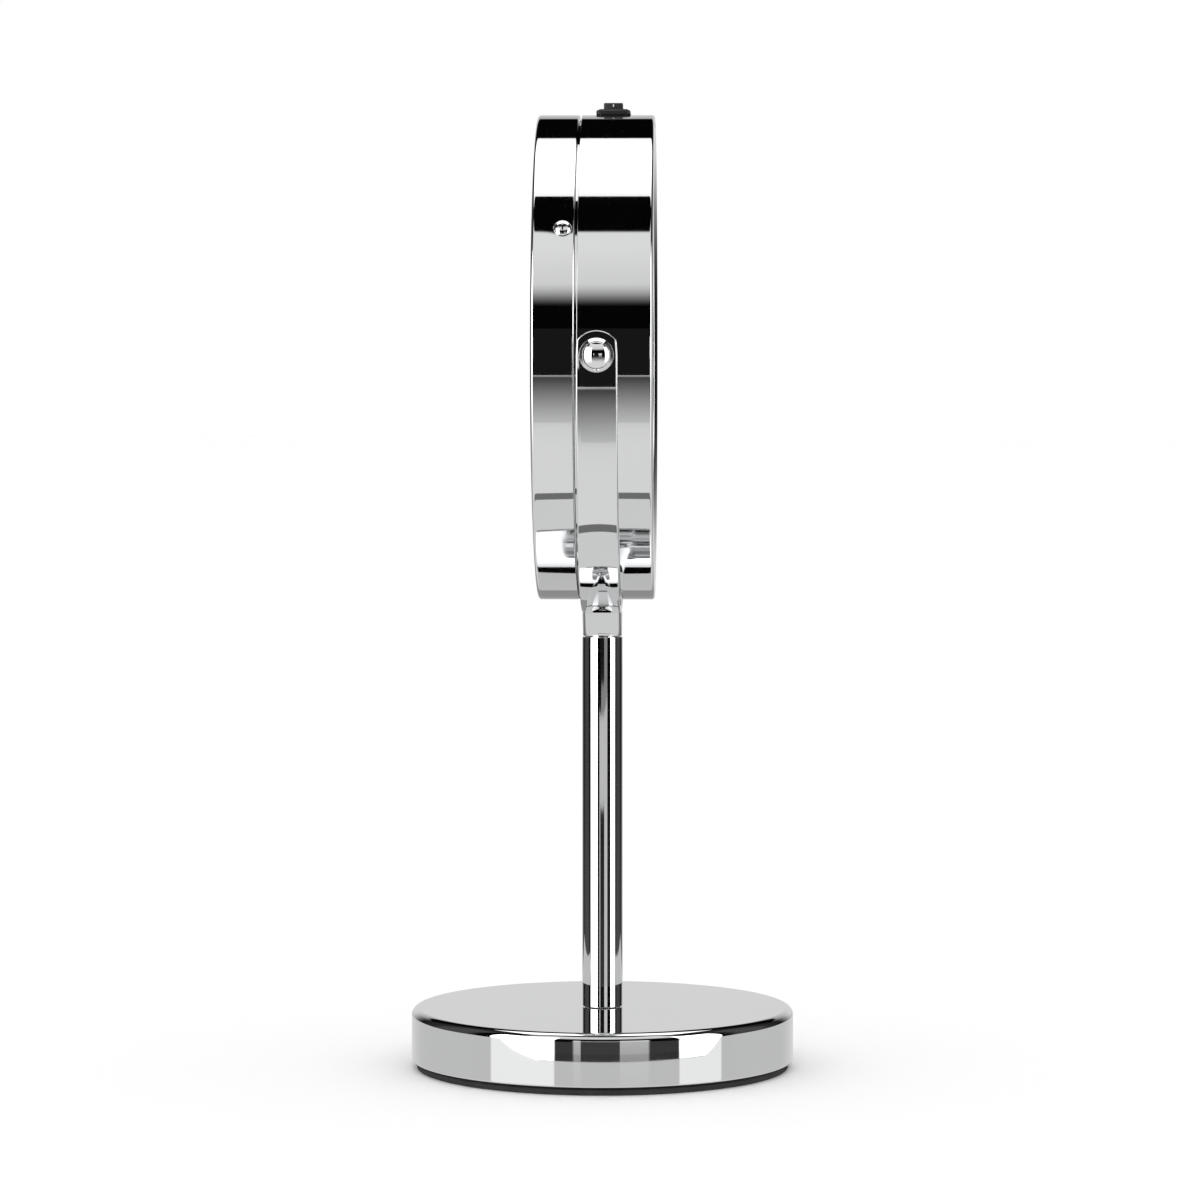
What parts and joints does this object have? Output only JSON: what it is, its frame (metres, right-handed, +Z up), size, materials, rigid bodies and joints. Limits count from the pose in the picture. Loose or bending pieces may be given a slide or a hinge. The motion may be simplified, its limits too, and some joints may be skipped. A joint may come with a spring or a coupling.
{
  "type": "shaving mirror",
  "caption": "Two-sided lit shaving mirror: round head tilting in a U yoke that swivels on a telescopic stem with a weighted round base.",
  "frame": {"origin": "centre of the base's underside, on the table", "axes": "+Z up along the stem; X along the head's tilt axis; the lit, magnifying side faces -Y"},
  "size_m": [0.1976, 0.143, 0.3599],
  "materials": {
    "chrome": "polished plating",
    "steel": "zinc plated",
    "cast_iron": "as cast",
    "brass": "stamped",
    "rubber": "matt foam rubber",
    "black_plastic": "fine satin moulding",
    "white_plastic": "satin moulding",
    "nylon": "natural nylon",
    "diffuser": "frosted",
    "mirror_glass": "silvered glass",
    "circuit_board": "white solder resist",
    "led": "clear lens over phosphor",
    "cell_jacket": "plain printed sleeve",
    "wire_red": "PVC insulation",
    "wire_black": "PVC insulation",
    "wire_white": "PVC insulation"
  },
  "bodies": {
    "stand": {"base_cover": "chrome", "ballast_disc": "cast_iron", "base_plate": "black_plastic", "base_pad": "rubber", "stem_washer": "steel", "stem_bolt": "steel", "stem_tube": "chrome", "tube_plug": "steel", "tube_bush": "nylon"},
    "inner_stem": {"inner_tube": "chrome", "stop_plug": "nylon", "swivel_plug": "steel", "swivel_washer": "nylon", "swivel_screw": "steel"},
    "yoke": {"yoke_strip": "chrome", "yoke_collar": "chrome"},
    "head": {"main_housing": "chrome", "rear_ring": "chrome", "plain_mirror": "mirror_glass", "mirror_pad": "rubber", "rear_cover": "white_plastic", "lock_screw": "chrome", "front_bezel": "chrome", "diffuser_ring": "diffuser", "magnifying_mirror": "mirror_glass", "light_tray": "white_plastic", "lamp_board": "circuit_board", "led_01": "led", "led_02": "led", "led_03": "led", "led_04": "led", "led_05": "led", "led_06": "led", "led_07": "led", "led_08": "led", "battery_holder": "white_plastic", "battery_1": "cell_jacket", "battery_2": "cell_jacket", "battery_3": "cell_jacket", "battery_contact_1": "brass", "battery_contact_2": "brass", "battery_contact_3": "brass", "battery_spring_1": "steel", "battery_spring_2": "steel", "battery_spring_3": "steel", "wire_red": "wire_red", "wire_black": "wire_black", "wire_white": "wire_white", "switch_body": "black_plastic", "switch_terminal_left": "brass", "switch_terminal_right": "brass", "pivot_knob_left": "chrome", "pivot_knob_right": "chrome", "pivot_washer_left": "nylon", "pivot_washer_right": "nylon", "pivot_nut_left": "brass", "pivot_nut_right": "brass"},
    "rocker": {"switch_rocker": "black_plastic"}
  },
  "joints": [
    {"name": "stem_extend", "type": "slide", "parent": "stand", "child": "inner_stem", "axis": [0, 0, 1], "range_m": [0, 0.09]},
    {"name": "yoke_swivel", "type": "hinge", "parent": "inner_stem", "child": "yoke", "pos_m": [0, 0, 0.1618], "axis": [0, 0, 1], "continuous": true},
    {"name": "head_tilt", "type": "hinge", "parent": "yoke", "child": "head", "pos_m": [0, 0, 0.2655], "axis": [1, 0, 0], "range_deg": [-170, 165]},
    {"name": "switch_rocker_tilt", "type": "hinge", "parent": "head", "child": "rocker", "pos_m": [0, -0.0042, 0.3555], "axis": [0, 1, 0], "range_deg": [-18, 0]}
  ]
}
